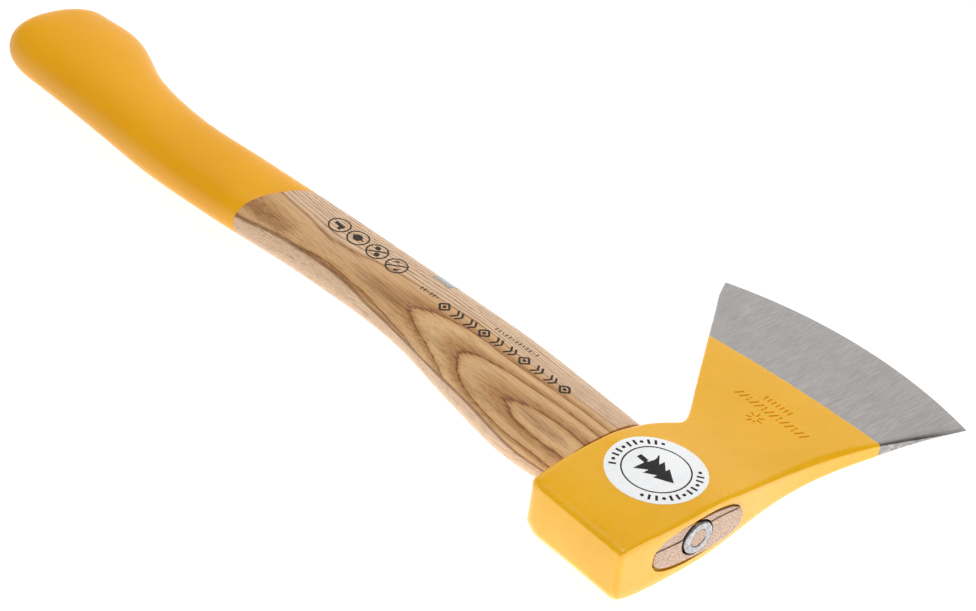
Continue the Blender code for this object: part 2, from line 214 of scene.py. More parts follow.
class Shader:
    """A Principled material and short names for the nodes that feed it."""

    def __init__(self, name, **values):
        self.mat = bpy.data.materials.new(name)
        self.mat.use_nodes = True
        self.tree = self.mat.node_tree
        self.bsdf = self.tree.nodes["Principled BSDF"]
        self.set(**values)

    def set(self, **values):
        for key, value in values.items():
            socket = self.bsdf.inputs[key.replace("_", " ").title().replace("Ior", "IOR")]
            if isinstance(value, bpy.types.NodeSocket):
                self.tree.links.new(value, socket)
            else:
                socket.default_value = value

    def node(self, kind, inputs=(), output=0, **props):
        n = self.tree.nodes.new(kind)
        for key, value in props.items():
            setattr(n, key, value)
        for key, value in dict(inputs).items():
            if isinstance(value, bpy.types.NodeSocket):
                self.tree.links.new(value, n.inputs[key])
            else:
                n.inputs[key].default_value = value
        return n.outputs[output]

    def math(self, op, *args, clamp=False):
        return self.node("ShaderNodeMath", dict(enumerate(args)), operation=op, use_clamp=clamp)

    def place(self):
        """Position on the piece, in the tool's own axes, in millimetres."""
        coords = self.node("ShaderNodeTexCoord", output=3)
        return self.node("ShaderNodeMapping", {"Vector": coords, "Location": REST.to_translation(),
                                               "Rotation": REST.to_euler(), "Scale": (MM, MM, MM)},
                         vector_type="TEXTURE")

    def stretched(self, place, scale):
        return self.node("ShaderNodeVectorMath", {0: place, 1: scale}, operation="MULTIPLY")

    def turned(self, place, degrees):
        """The place turned about the tool's Z."""
        return self.node("ShaderNodeVectorRotate", {"Vector": place, "Angle": math.radians(degrees)},
                         rotation_type="Z_AXIS")

    def xyz(self, place):
        n = self.tree.nodes.new("ShaderNodeSeparateXYZ")
        self.tree.links.new(place, n.inputs[0])
        return n.outputs

    def noise(self, place, scale, detail=3.0, rough=0.5):
        return self.node("ShaderNodeTexNoise", {"Vector": place, "Scale": scale, "Detail": detail,
                                                "Roughness": rough})

    def ramp(self, value, stops, smooth=False):
        out = self.node("ShaderNodeValToRGB", {"Fac": value})
        band = out.node.color_ramp
        band.interpolation = "EASE" if smooth else "LINEAR"
        while len(band.elements) < len(stops):
            band.elements.new(0.5)
        for element, (at, colour) in zip(band.elements, stops):
            element.position = at
            element.color = (*colour, 1.0) if len(colour) == 3 else colour
        return out

    def grey_ramp(self, value, stops):
        return self.ramp(value, [(at, (v, v, v)) for at, v in stops])

    def curve(self, value, points):
        """Smooth function of a value through a few (input, output) points."""
        xs, ys = zip(*points)
        low, high = min(ys), max(ys)
        out = self.node("ShaderNodeFloatCurve", {1: self.scale_range(value, xs[0], xs[-1], 0.0, 1.0)})
        line = out.node.mapping.curves[0]
        while len(line.points) < len(points):
            line.points.new(0.5, 0.5)
        for point, x, y in zip(line.points, xs, ys):
            point.location = ((x - xs[0]) / (xs[-1] - xs[0]), (y - low) / (high - low))
        out.node.mapping.update()
        return self.scale_range(out, 0.0, 1.0, low, high)

    def mix(self, factor, a, b, mode="MIX"):
        n = self.tree.nodes.new("ShaderNodeMix")
        n.data_type = "RGBA"
        n.blend_type = mode
        for index, value in ((0, factor), (6, a), (7, b)):
            if isinstance(value, bpy.types.NodeSocket):
                self.tree.links.new(value, n.inputs[index])
            elif index and len(value) == 3:
                n.inputs[index].default_value = (*value, 1.0)
            else:
                n.inputs[index].default_value = value
        return n.outputs[2]

    def scale_range(self, value, low, high, to_low, to_high):
        return self.node("ShaderNodeMapRange", {0: value, 1: low, 2: high, 3: to_low, 4: to_high})

    def bump(self, height, distance_mm, strength=1.0, normal=None):
        inputs = {"Height": height, "Distance": distance_mm * MM, "Strength": strength}
        if normal is not None:
            inputs["Normal"] = normal
        return self.node("ShaderNodeBump", inputs)


def yellow_lacquer():
    """Glossy lacquer over a forging: faint waves of the metal and orange peel."""
    s = Shader("yellow_lacquer", roughness=0.3, specular_ior_level=0.32, coat_weight=0.2,
               coat_roughness=0.05)
    p = s.place()
    drift = s.noise(p, 0.045, 2.0)
    fine = s.noise(p, 0.9, 3.0)
    tone = s.mix(s.scale_range(drift, 0.35, 0.65, 0.0, 1.0), (0.86, 0.438, 0.001), (0.90, 0.462, 0.002))
    tone = s.mix(s.scale_range(fine, 0.45, 0.80, 0.0, 0.04), tone, (0.74, 0.33, 0.002))
    s.set(base_color=tone)
    s.set(roughness=s.scale_range(s.noise(p, 0.35, 4.0), 0.3, 0.7, 0.24, 0.38))
    normal = s.bump(s.noise(p, 0.06, 2.0), 0.9, 0.6)
    s.set(normal=s.bump(s.noise(p, 0.75, 2.0, 0.4), 0.012, 0.6, normal))
    return s.mat


def ground_steel():
    """Bit ground on a belt: fine scratches across it from the paint to the edge, and darker patches."""
    s = Shader("ground_steel", metallic=1.0, roughness=0.36)
    p = s.place()
    turned, crossed = s.turned(p, -5.0), s.turned(p, -22.0)
    broad = s.noise(s.stretched(turned, (1.0, 0.05, 0.2)), 1.0, 3.0, 0.65)
    fine = s.noise(s.stretched(turned, (5.5, 0.13, 0.5)), 1.0, 4.0, 0.75)
    stray = s.noise(s.stretched(crossed, (4.5, 0.12, 0.5)), 1.0, 2.0, 0.6)
    patches = s.noise(p, 0.09, 4.0)
    marks = s.math("ADD", s.math("MULTIPLY", broad, 0.14), s.math("MULTIPLY", fine, 0.66))
    marks = s.math("ADD", marks, s.math("MULTIPLY", stray, 0.20))
    tone = s.ramp(marks, [(0.34, (0.325, 0.308, 0.299)), (0.48, (0.425, 0.404, 0.393)),
                          (0.60, (0.535, 0.514, 0.502))])
    tone = s.mix(s.scale_range(patches, 0.40, 0.70, 0.0, 0.22), tone, (0.37, 0.348, 0.334))
    # Painted shade: the narrow top side of the bit, the faces turned towards the tool's +X, is darkened by a
    # noisy amount, more the further they turn that way.
    normal = s.node("ShaderNodeNewGeometry", output="Normal")
    facing_top = s.node("ShaderNodeVectorMath", {0: normal, 1: REST.to_3x3() @ Vector((1.0, 0.0, 0.0))},
                        output="Value", operation="DOT_PRODUCT")
    painted_top_shade = s.scale_range(s.noise(p, 0.6, 3.0, 0.6), 0.35, 0.65, 0.35, 0.9)
    painted_top_shade = s.math("MULTIPLY", s.scale_range(facing_top, 0.35, 0.7, 0.0, 1.0), painted_top_shade)
    tone = s.mix(painted_top_shade, tone, (0.12, 0.115, 0.11))
    s.set(base_color=tone, roughness=s.scale_range(marks, 0.35, 0.62, 0.48, 0.30))
    s.set(normal=s.bump(marks, 0.035, 0.8))
    return s.mat


# Figure of the ash along the handle, against X: how deep the growth rings lie, their middle as Y, and the
# height of the line on the spine side. The rings lean along X and Y as they go down from the top.
RING_LEAN = (0.89, -0.906)
RING_RADIUS = 40.0
RING_SPACING = 1.87
OUTER_SPACING = 0.62
HEART_EDGE = 5.8
RING_DEPTH = [(-360.0, 2.5), (-300.0, 5.0), (-262.0, 3.6), (-230.0, 4.15), (-213.0, 4.5), (-190.0, 5.35),
              (-172.0, 4.9), (-147.0, 3.92), (-117.0, 2.05), (-86.0, 0.18), (-66.0, -0.25), (10.0, 0.25)]
RING_MIDDLE = [(-360.0, -14.0), (-230.0, -19.0), (-200.0, -16.5), (-175.0, -12.5), (-147.0, -11.0),
               (-117.0, -13.0), (-86.0, -16.3), (-50.0, -15.5), (10.0, -14.0)]
SPINE_LINE = [(-360.0, 2.0), (-233.0, 3.5), (-202.0, 5.1), (-175.0, 4.4), (-138.0, 1.6), (-98.0, 3.4),
              (-59.0, 0.9), (10.0, 1.0)]

# Brown stains on the upper side: middle, reach along the handle, width and depth.
STAINS = [(-220.0, -21.5, 17.0, 5.5, 0.55), (-163.0, -13.5, 17.0, 4.5, 0.50),
          (-128.0, -17.0, 12.0, 3.0, 0.25), (-68.0, -15.8, 15.0, 3.2, 0.50),
          (-100.0, -24.0, 20.0, 2.6, 0.30)]


def ash_wood():
    """Flat-sawn ash: pointed figure with a brown heart, pale flanks of narrow rings, pores and end grain."""
    s = Shader("ash_wood", roughness=0.46, specular_ior_level=0.18)
    p = s.place()
    x, y, z = s.xyz(p)
    wander = s.noise(s.stretched(p, (0.02, 0.09, 0.09)), 1.0, 2.0)
    ragged = s.noise(s.stretched(p, (0.055, 1.5, 1.5)), 1.0, 4.0, 0.62)
    drop = s.math("SUBTRACT", 11.0, z)
    along = s.math("ADD", x, s.math("MULTIPLY", drop, RING_LEAN[0]))
    across = s.math("ADD", y, s.math("MULTIPLY", drop, RING_LEAN[1]))
    side = s.math("SUBTRACT", across, s.curve(along, RING_MIDDLE))
    side = s.math("ADD", side, s.scale_range(wander, 0.0, 1.0, -1.4, 1.4))
    radius = s.math("DIVIDE", s.math("MULTIPLY", side, side), 2.0 * RING_RADIUS)
    radius = s.math("ADD", radius, s.curve(along, RING_DEPTH))
    radius = s.math("ADD", radius, s.scale_range(ragged, 0.3, 0.7, -0.09, 0.09))

    # Wide rings inside the heart, narrow ones on the flank.
    inner = s.math("DIVIDE", s.math("SUBTRACT", radius, 0.18), RING_SPACING)
    outer = s.math("DIVIDE", s.math("SUBTRACT", radius, HEART_EDGE), OUTER_SPACING)
    edge_side = s.math("GREATER_THAN", side, 0.0)
    flank = s.math("MULTIPLY", s.math("GREATER_THAN", radius, HEART_EDGE), edge_side)
    rings = s.math("ADD", s.math("MULTIPLY", inner, s.math("SUBTRACT", 1.0, flank)),
                   s.math("MULTIPLY", s.math("ADD", outer, 20.0), flank))
    phase = s.math("FRACT", rings)
    season = s.node("ShaderNodeTexWhiteNoise", {"W": s.math("FLOOR", rings)}, noise_dimensions="1D")

    heartwood = s.ramp(phase, [(0.0, rgb(108, 54, 20)), (0.03, rgb(126, 68, 29)),
                               (0.065, rgb(178, 122, 70)), (0.30, rgb(205, 155, 101)),
                               (0.60, rgb(230, 189, 138)), (0.86, rgb(224, 180, 126)),
                               (0.96, rgb(206, 153, 96)), (0.988, rgb(116, 60, 24)),
                               (1.0, rgb(108, 54, 20))])
    sapwood = s.ramp(phase, [(0.0, rgb(176, 126, 90)), (0.12, rgb(204, 162, 124)),
                             (0.40, rgb(228, 197, 165)), (0.80, rgb(233, 205, 176)),
                             (1.0, rgb(182, 132, 96))])
    line = s.curve(x, SPINE_LINE)
    above = s.math("SUBTRACT", z, s.math("ADD", line, s.scale_range(wander, 0.0, 1.0, -1.2, 1.2)))
    upper = s.scale_range(above, -0.5, 0.5, 0.0, 1.0)
    pale = s.math("MULTIPLY", s.scale_range(radius, HEART_EDGE - 0.6, HEART_EDGE + 0.6, 0.0, 1.0), edge_side)
    heart = s.math("MULTIPLY", s.math("SUBTRACT", 1.0, pale), upper)
    heart = s.math("MULTIPLY", heart, s.scale_range(across, 10.0, 4.0, 0.0, 1.0))
    tone = s.mix(heart, sapwood, heartwood)

    # Below the line on the spine side: fine level rings.
    level = s.math("ADD", s.math("MULTIPLY", z, 0.85), s.scale_range(wander, 0.0, 1.0, 0.0, 2.5))
    thin_rings = s.math("FRACT", s.math("ADD", level, s.math("MULTIPLY", ragged, 0.5)))
    flank_tone = s.ramp(thin_rings, [(0.0, rgb(206, 162, 126)), (0.25, rgb(226, 192, 158)),
                                     (0.75, rgb(231, 201, 170)), (1.0, rgb(206, 162, 126))])
    below = s.math("MULTIPLY", s.math("SUBTRACT", 1.0, upper), s.scale_range(side, 2.0, -2.0, 0.0, 1.0))
    tone = s.mix(below, tone, flank_tone)
    dusk = s.math("MULTIPLY", heart, s.scale_range(season, 0.0, 1.0, 0.0, 0.35))
    tone = s.mix(dusk, tone, rgb(188, 138, 88))

    for middle_x, middle_y, reach, width, depth in STAINS:
        u = s.math("DIVIDE", s.math("SUBTRACT", along, middle_x), reach)
        v = s.math("DIVIDE", s.math("SUBTRACT", across, middle_y), width)
        spread = s.math("ADD", s.math("MULTIPLY", u, u), s.math("MULTIPLY", v, v))
        spread = s.math("ADD", spread, s.scale_range(ragged, 0.3, 0.7, -0.45, 0.45))
        stain = s.math("MULTIPLY", s.scale_range(spread, 1.0, 0.2, 0.0, depth), upper)
        tone = s.mix(stain, tone, rgb(140, 88, 46))

    spine = s.scale_range(y, -13.0, -16.0, 0.0, 1.0)
    seam = s.math("MULTIPLY", s.scale_range(s.math("ABSOLUTE", above), 0.95, 0.25, 0.0, 0.85), spine)
    tone = s.mix(seam, tone, rgb(126, 78, 44))

    # Fibres and open pores.
    fibres = s.noise(s.stretched(p, (0.035, 3.4, 3.4)), 1.0, 4.0, 0.65)
    tone = s.mix(s.scale_range(fibres, 0.42, 0.72, 0.0, 0.40), tone, rgb(228, 194, 154))
    tone = s.mix(s.scale_range(fibres, 0.50, 0.28, 0.0, 0.60), tone, rgb(122, 78, 44))
    early = s.grey_ramp(phase, [(0.0, 1.0), (0.18, 0.9), (0.42, 0.25), (0.9, 0.1), (1.0, 1.0)])
    pores = s.noise(s.stretched(p, (0.13, 4.6, 4.6)), 1.0, 2.0)
    holes = s.math("MULTIPLY", s.scale_range(pores, 0.56, 0.68, 0.0, 1.0), early)
    tone = s.mix(s.math("MULTIPLY", holes, 0.75), tone, rgb(92, 56, 30))

    # End grain on the tenon's end. Painted shade: the wood past x = -49, the tenon's sides inside the eye
    # and most of the walls of the crevice round the ring, is painted dark brown.
    end = s.scale_range(x, -1.2, -0.4, 0.0, 1.0)
    bowed = s.math("ADD", s.math("MULTIPLY", y, 0.5), s.math("MULTIPLY", z, 0.62))
    bowed = s.math("ADD", bowed, s.math("MULTIPLY", s.math("MULTIPLY", y, y), 0.012))
    bands = s.math("FRACT", s.math("ADD", bowed, s.scale_range(s.noise(p, 0.22, 3.0), 0.0, 1.0, 0.0, 4.0)))
    cells = s.noise(p, 2.4, 4.0, 0.7)
    end_tone = s.mix(s.scale_range(bands, 0.45, 1.0, 0.0, 0.55), rgb(222, 195, 174), rgb(166, 126, 102))
    end_tone = s.mix(s.scale_range(cells, 0.48, 0.60, 0.0, 0.85), end_tone, rgb(140, 100, 80))
    # Painted shade: dark brown on the wood inside the eye, with the end grain over it at the tenon's end.
    tone = s.mix(end, s.mix(s.scale_range(x, -50.0, -49.0, 0.0, 1.0), tone, rgb(70, 45, 30)), end_tone)
    s.set(base_color=tone)
    s.set(roughness=s.scale_range(fibres, 0.3, 0.7, 0.40, 0.56))
    height = s.math("SUBTRACT", s.math("MULTIPLY", fibres, 0.4), s.math("MULTIPLY", holes, 0.8))
    s.set(normal=s.bump(height, 0.09, 0.7))
    return s.mat


def grip_lacquer():
    """Thick dipped lacquer: satin, with the wood's long lines just showing through."""
    s = Shader("grip_lacquer", roughness=0.46, specular_ior_level=0.33)
    p = s.place()
    drift = s.noise(p, 0.03, 2.0)
    fine = s.noise(p, 1.1, 2.0)
    tone = s.mix(s.scale_range(drift, 0.35, 0.65, 0.0, 1.0), (0.87, 0.390, 0.001), (0.91, 0.415, 0.002))
    tone = s.mix(s.scale_range(fine, 0.45, 0.80, 0.0, 0.12), tone, (0.76, 0.33, 0.002))
    s.set(base_color=tone, roughness=s.scale_range(s.noise(p, 0.5, 3.0), 0.3, 0.7, 0.36, 0.48))
    grain = s.noise(s.stretched(p, (0.025, 1.1, 1.1)), 1.0, 3.0)
    normal = s.bump(grain, 0.10, 0.6)
    s.set(normal=s.bump(s.noise(p, 0.8, 2.0, 0.4), 0.06, 0.6, normal))
    return s.mat


def wedge_steel():
    """Turned steel with faint rings, dulled and knocked by the hammer."""
    s = Shader("wedge_steel", metallic=1.0, roughness=0.35)
    p = s.place()
    knocks = s.noise(p, 0.8, 3.0)
    lathe = s.noise(s.stretched(p, (4.0, 0.6, 0.6)), 1.0, 2.0)
    tone = s.ramp(knocks, [(0.3, (0.20, 0.20, 0.21)), (0.5, (0.32, 0.32, 0.335)),
                           (0.75, (0.44, 0.44, 0.455))])
    s.set(base_color=tone, roughness=s.scale_range(knocks, 0.3, 0.7, 0.48, 0.28))
    s.set(normal=s.bump(s.math("ADD", knocks, s.math("MULTIPLY", lathe, 0.5)), 0.12, 0.6))
    return s.mat


def label_film():
    """White printed film, with faint streaks of painted sheen in its white."""
    s = Shader("label_film", roughness=0.32)
    p = s.place()
    painted_sheen = s.noise(s.stretched(p, (0.35, 0.08, 0.1)), 1.0, 3.0)
    # Painted sheen: paler streaks of white, smoother where they are palest.
    tone = s.ramp(painted_sheen, [(0.3, (0.91, 0.92, 0.93)), (0.55, (0.95, 0.96, 0.97)),
                          (0.75, (0.98, 0.98, 0.99))])
    s.set(base_color=tone, roughness=s.scale_range(painted_sheen, 0.3, 0.7, 0.38, 0.24))
    s.set(normal=s.bump(s.noise(p, 1.5, 2.0), 0.02, 0.5))
    return s.mat


def label_foil():
    """Small security foil: silver with a fine diagonal check."""
    s = Shader("label_foil", roughness=0.34, metallic=0.35)
    p = s.place()
    check = s.node("ShaderNodeTexChecker", {"Vector": s.turned(p, 45.0), "Color1": (0.20, 0.215, 0.215, 1.0),
                                            "Color2": (0.40, 0.42, 0.42, 1.0), "Scale": 1.3})
    worn = s.noise(p, 0.8, 3.0)
    s.set(base_color=s.mix(s.scale_range(worn, 0.4, 0.65, 0.0, 0.8), check, (0.36, 0.39, 0.39)))
    s.set(roughness=s.scale_range(worn, 0.3, 0.7, 0.24, 0.42))
    return s.mat


def printing_ink(name, colour, wear):
    """Printing ink, paler where it is thin."""
    s = Shader(name, roughness=0.6, specular_ior_level=0.15)
    p = s.place()
    thin = s.noise(s.stretched(p, (0.5, 3.0, 3.0)), 1.0, 3.0)
    paler = tuple(min(1.0, c + wear) for c in colour)
    s.set(base_color=s.mix(s.scale_range(thin, 0.45, 0.75, 0.0, 1.0), colour, paler))
    s.set(roughness=s.scale_range(thin, 0.3, 0.7, 0.5, 0.7))
    return s.mat


# ---------------------------------------------------------------- mesh tools

def add_piece(name, mesh, mats, replaced=(), smooth_angle=35.0):
    """Put a mesh drawn in the tool's axes where the tool lies, and let it ride with the tool."""
    mesh.transform(REST)
    ob = bpy.data.objects.new(name, mesh)
    bpy.context.scene.collection.objects.link(ob)
    for mat in mats:
        mesh.materials.append(mat)
    mesh.shade_smooth()
    mesh.set_sharp_from_angle(angle=math.radians(smooth_angle))
    if replaced:
        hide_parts(*replaced)
    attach(ob, "root")
    return ob


def mesh_of(name, verts, faces, material_index=None):
    mesh = bpy.data.meshes.new(name)
    mesh.from_pydata([tuple(np.asarray(v, dtype=float) * MM) for v in verts], [], faces)
    if material_index is not None:
        mesh.polygons.foreach_set("material_index", material_index)
    bm = bmesh.new()
    bm.from_mesh(mesh)
    bmesh.ops.recalc_face_normals(bm, faces=bm.faces)
    bm.to_mesh(mesh)
    bm.free()
    return mesh


def loft(name, rings, cap_start=True, cap_end=True):
    """Skin a row of closed rings with equal counts; a cap is one face across an end ring."""
    n = len(rings[0])
    verts = [p for ring in rings for p in ring]
    faces = []
    for r in range(len(rings) - 1):
        for k in range(n):
            a, b = r * n + k, r * n + (k + 1) % n
            faces.append((a, b, b + n, a + n))
    if cap_start:
        faces.append(tuple(range(n)))
    if cap_end:
        faces.append(tuple(range((len(rings) - 1) * n, len(rings) * n)))
    return mesh_of(name, verts, faces)


def turned_mesh(name, profile, steps=96, closed=True):
    """Mesh of a profile of (radius, distance along X) pairs turned about the X axis."""
    verts = []
    for k in range(steps):
        c, s = math.cos(2 * math.pi * k / steps), math.sin(2 * math.pi * k / steps)
        verts += [(x, r * c, r * s) for r, x in profile]
    n = len(profile)
    faces = []
    for k in range(steps):
        for i in range(n if closed else n - 1):
            j = (i + 1) % n
            q = (k + 1) % steps
            faces.append((k * n + i, k * n + j, q * n + j, q * n + i))
    return mesh_of(name, verts, faces)


def cut(ob, cutter_mesh, name):
    """Take closed meshes, drawn in the tool's axes, out of a piece."""
    cutter_mesh.transform(REST)
    cutter = bpy.data.objects.new(name, cutter_mesh)
    bpy.context.scene.collection.objects.link(cutter)
    mod = ob.modifiers.new(name, "BOOLEAN")
    mod.operation = "DIFFERENCE"
    mod.solver = "EXACT"
    mod.object = cutter
    bpy.context.view_layer.update()
    graph = bpy.context.evaluated_depsgraph_get()
    result = bpy.data.meshes.new_from_object(ob.evaluated_get(graph), depsgraph=graph)
    ob.modifiers.remove(mod)
    ob.data = result
    bpy.data.objects.remove(cutter, do_unlink=True)


# ---------------------------------------------------------------- head

def cheek_height(x, y):
    radius = np.hypot(np.asarray(x) - ARC_CENTRE[0], np.asarray(y) - ARC_CENTRE[1])
    roll = np.clip(1.0 - (np.asarray(y) - POLL_Y) / POLL_ROLL_REACH, 0.0, 1.0)
    return hermite(CHEEK_PROFILE, radius)[..., 0] - POLL_ROLL_DROP * roll**2


def cross_line(v):
    """Ends of the line across the head at v: 0 poll, 1 notch, 2 end of the paint, 3 cutting edge."""
    marks = [0.0, 1.0, 2.0, 3.0]
    y_foot = float(np.interp(v, marks, [POLL_Y, NOTCH_Y, PAINT_FOOT_Y, HEEL_Y]))
    y_top = float(np.interp(v, marks, [POLL_Y, NOTCH_Y, PAINT_TOP_Y, TOE_Y]))
    foot = np.array([hermite(FOOT_SIDE, y_foot)[0], y_foot])
    top = np.array([hermite(TOP_SIDE, y_top)[0], y_top])
    return foot, top


def bulge_at(v, half, share):
    """How far the line across the head bows: none up to the notch, then more, up to the edge's arc."""
    off = (2.0 * share - 1.0) * half
    full = math.sqrt(ARC_RADIUS**2 - off**2) - math.sqrt(ARC_RADIUS**2 - half**2)
    painted = PAINT_SAG * (1.0 - (off / half) ** 2)
    if v <= 1.0:
        return 0.0
    if v <= 2.0:
        return painted * (v - 1.0) ** 2
    return painted + (full - painted) * (v - 2.0)


def edge_curve(run, drop):
    """Rounded edge from the wall up onto the cheek: pairs of distance in and drop below the cheek."""
    angles = [0.5 * math.pi * k / ARC_STEPS for k in range(ARC_STEPS + 1)]
    return [(run * (1.0 - math.cos(a) ** (2.0 / EDGE_POWER)),
             drop * (1.0 - math.sin(a) ** (2.0 / EDGE_POWER))) for a in angles]


def head_loop(v, film=0.0, wobble=0.0, poll_inset=0.0):
    """Closed section of the head on one line across it, with its four long edges rounded."""
    foot, top = cross_line(v)
    span = np.linalg.norm(top - foot)
    along = (top - foot) / span
    out = np.array([-along[1], along[0]])
    left = -film + poll_inset * POLL_FOOT_RUN
    right = span + film - poll_inset * POLL_TOP_RUN

    def surface(s, drop, side):
        share = min(1.0, max(0.0, s / span))
        ripple = wobble * (math.sin(31.0 * share) + math.sin(83.0 * share + 1.0))
        x, y = foot + along * s + out * (bulge_at(v, 0.5 * span, share) + ripple)
        inset = poll_inset * (POLL_UPPER_RUN if side > 0 else POLL_LOWER_RUN)
        return x, y, side * (float(cheek_height(x, y)) + film - inset - drop)

    def edge(at, side, run_table, inward):
        _, y, z = surface(at, 0.0, side)
        run = float(hermite(run_table, y)[0])
        if side < 0:
            run += POLL_LOWER_EXTRA * max(0.0, 1.0 - (y - POLL_Y) / POLL_LOWER_REACH) ** 2
        drop = min(0.7 * run, 0.72 * abs(z))
        return [surface(at + inward * r, d, side) for r, d in edge_curve(run, drop)], run

    loop = []
    for side, start, end, start_run, end_run, step in ((1, right, left, TOP_RUN, FOOT_RUN, -1.0),
                                                       (-1, left, right, FOOT_RUN, TOP_RUN, 1.0)):
        first, run_a = edge(start, side, start_run, step)
        last, run_b = edge(end, side, end_run, -step)
        wall = first[0]
        loop += [(wall[0], wall[1], wall[2] * k / WALL_STEPS) for k in range(WALL_STEPS)]
        loop += first
        a, b = start + step * run_a, end - step * run_b
        loop += [surface(a + (b - a) * k / ACROSS_STEPS, 0.0, side) for k in range(1, ACROSS_STEPS)]
        loop += last[::-1]
        wall = last[0]
        loop += [(wall[0], wall[1], wall[2] * k / WALL_STEPS) for k in range(WALL_STEPS - 1, 0, -1)]
    return loop


def poll_loops():
    """Loops that round the poll's face into the sides."""
    loops = []
    for k in range(ARC_STEPS + 1):
        a = 0.5 * math.pi * k / ARC_STEPS
        v = POLL_DEPTH * (1.0 - math.cos(a)) / (NOTCH_Y - POLL_Y)
        loops.append(head_loop(v, PAINT_FILM, poll_inset=1.0 - math.sin(a)))
    return loops


def head_mesh():
    """The head as loops from the poll to the cutting edge: lacquered first, then the bare bit."""
    first = POLL_DEPTH / (NOTCH_Y - POLL_Y)
    loops = poll_loops()
    for v in list(np.linspace(first, 1.0, 44)[1:]) + list(np.linspace(1.0, 1.97, 30)[1:]):
        loops.append(head_loop(v, PAINT_FILM))
    loops.append(head_loop(1.996, PAINT_FILM, wobble=0.06))
    painted = len(loops)
    loops.append(head_loop(2.004, wobble=0.06))
    for v in list(np.linspace(2.03, 2.9, 20)) + [2.94, 2.97, 2.985, 3.0]:
        loops.append(head_loop(v))
    n = len(loops[0])
    verts = [p for loop in loops for p in loop]
    faces, index = [], []
    for r in range(len(loops) - 1):
        for k in range(n):
            a, b = r * n + k, r * n + (k + 1) % n
            faces.append((a, b, b + n, a + n))
            index.append(0 if r < painted else 1)
    for base, mat in ((0, 0), ((len(loops) - 1) * n, 1)):
        for k in range(n // 2):
            quad = (base + k, base + k + 1, base + (n - k - 1) % n, base + (n - k) % n)
            faces.append(tuple(dict.fromkeys(quad)))
            index.append(mat)
    return mesh_of("head", verts, faces, index)


def eye_cutter():
    """The eye, with a small flare where it comes out of the top of the head."""
    stops = [(-60.0, 0.0), (-2.2, 0.0)]
    stops += [(-2.2 + 1.6 * math.sin(a), EYE_FLARE * (1.0 - math.cos(a)))
              for a in np.linspace(0.2, 0.5 * math.pi, 5)] + [(6.0, EYE_FLARE + 0.4)]
    rings = []
    for x, flare in stops:
        angles = [2.0 * math.pi * k / 96 for k in range(96)]
        rings.append([(x, *squircle(EYE_HALF_LENGTH + flare, EYE_HALF_WIDTH + flare, EYE_SQUARENESS, a))
                      for a in angles])
    return loft("eye", rings)


def stamp_strokes():
    """Sunk ornament on the cheek: a rope of dashes and pips, a short row of ticks and a small sunburst."""
    strokes = []

    def glyph(middle, along, up, lines):
        for (u0, v0), (u1, v1) in lines:
            strokes.append((middle + along * u0 + up * v0, middle + along * u1 + up * v1))

    slash = [((-0.75, -1.5), (0.75, 1.5))]
    pips = [((0.0, -1.35), (0.0, -0.7)), ((0.0, 0.7), (0.0, 1.35))]
    tick = [((0.0, -1.0), (0.0, 1.0))]
    for first, last, glyphs in ((STAMP_ROW[0], STAMP_ROW[1], [slash, slash, pips] * 4 + [slash, slash]),
                                (STAMP_TICKS[0], STAMP_TICKS[1], [tick] * 7)):
        first, last = np.array(first), np.array(last)
        along = (last - first) / np.linalg.norm(last - first)
        up = np.array((-along[1], along[0]))
        for k, lines in enumerate(glyphs):
            glyph(first + (last - first) * k / (len(glyphs) - 1), along, up, lines)
    for k in range(7):
        a = 2.0 * math.pi * k / 7
        ray = np.array((math.cos(a), math.sin(a)))
        strokes.append((np.array(STAMP_SUN) + ray * 1.7, np.array(STAMP_SUN) + ray * 3.3))
    return strokes


def stamp_cutter():
    """Every stroke as a narrow trough with sloping walls."""
    verts, faces = [], []
    for a, b in stamp_strokes():
        along = (b - a) / np.linalg.norm(b - a)
        side = np.array((-along[1], along[0]))
        start = len(verts)
        for level, half in ((-STAMP_DEPTH, 0.18), (0.15, 0.44)):
            for end, way in ((a, -1.0), (b, 1.0)):
                for flank in (-1.0, 1.0):
                    p = end + along * way * half + side * flank * half
                    verts.append((p[0], p[1], float(cheek_height(*end)) + PAINT_FILM + level))
        sides = ((0, 1, 3, 2), (4, 5, 7, 6), (0, 1, 5, 4), (2, 3, 7, 6), (0, 2, 6, 4), (1, 3, 7, 5))
        faces += [tuple(start + i for i in f) for f in sides]
    return mesh_of("stamp", verts, faces)


def make_head(mats):
    head = add_piece("forged_head", head_mesh(), mats, ["axe_head"])
    cut(head, eye_cutter(), "eye")
    cut(head, stamp_cutter(), "stamp")
    head.data.set_sharp_from_angle(angle=math.radians(35.0))
    return head


# ---------------------------------------------------------------- handle and grip

def handle_point(x, angle, inset=0.0):
    """A point of the handle's surface; past the knob it closes as a dome that leans to the spine side."""
    edge, spine, half_z, power = hermite(HANDLE_STATIONS, x)
    centre = 0.5 * (edge + spine)
    half_y = 0.5 * (edge - spine) - inset
    half_z = half_z - inset
    lean = 0.0
    if x < KNOB_X:
        ratio = min(1.0, (KNOB_X - x) / (BUTT_DEPTH - inset))
        shrink = (1.0 - ratio**BUTT_POWER) ** (1.0 / BUTT_POWER)
        half_y, half_z = half_y * shrink, half_z * shrink
        lean = BUTT_LEAN * ratio
    y, z = squircle(half_y, half_z, power, angle)
    return np.array((x + lean * y, centre + y, z))


DIP_CENTRE_Y = float(0.5 * hermite(HANDLE_STATIONS, DIP_X)[:2].sum())


def handle_ring(x, inset=0.0):
    """One oval of the handle, leaning along X near the dip line."""
    slant = DIP_SLANT * max(0.0, 1.0 - abs(x - DIP_X) / DIP_FADE)
    ring = []
    for k in range(AROUND):
        angle = 2.0 * math.pi * k / AROUND
        p = handle_point(x, angle, inset)
        if slant:
            p = handle_point(x + slant * (p[1] - DIP_CENTRE_Y), angle, inset)
        ring.append(p)
    return ring


def stations(start, end):
    return list(np.linspace(start, end, max(2, int(abs(end - start) / ALONG_STEP) + 1)))


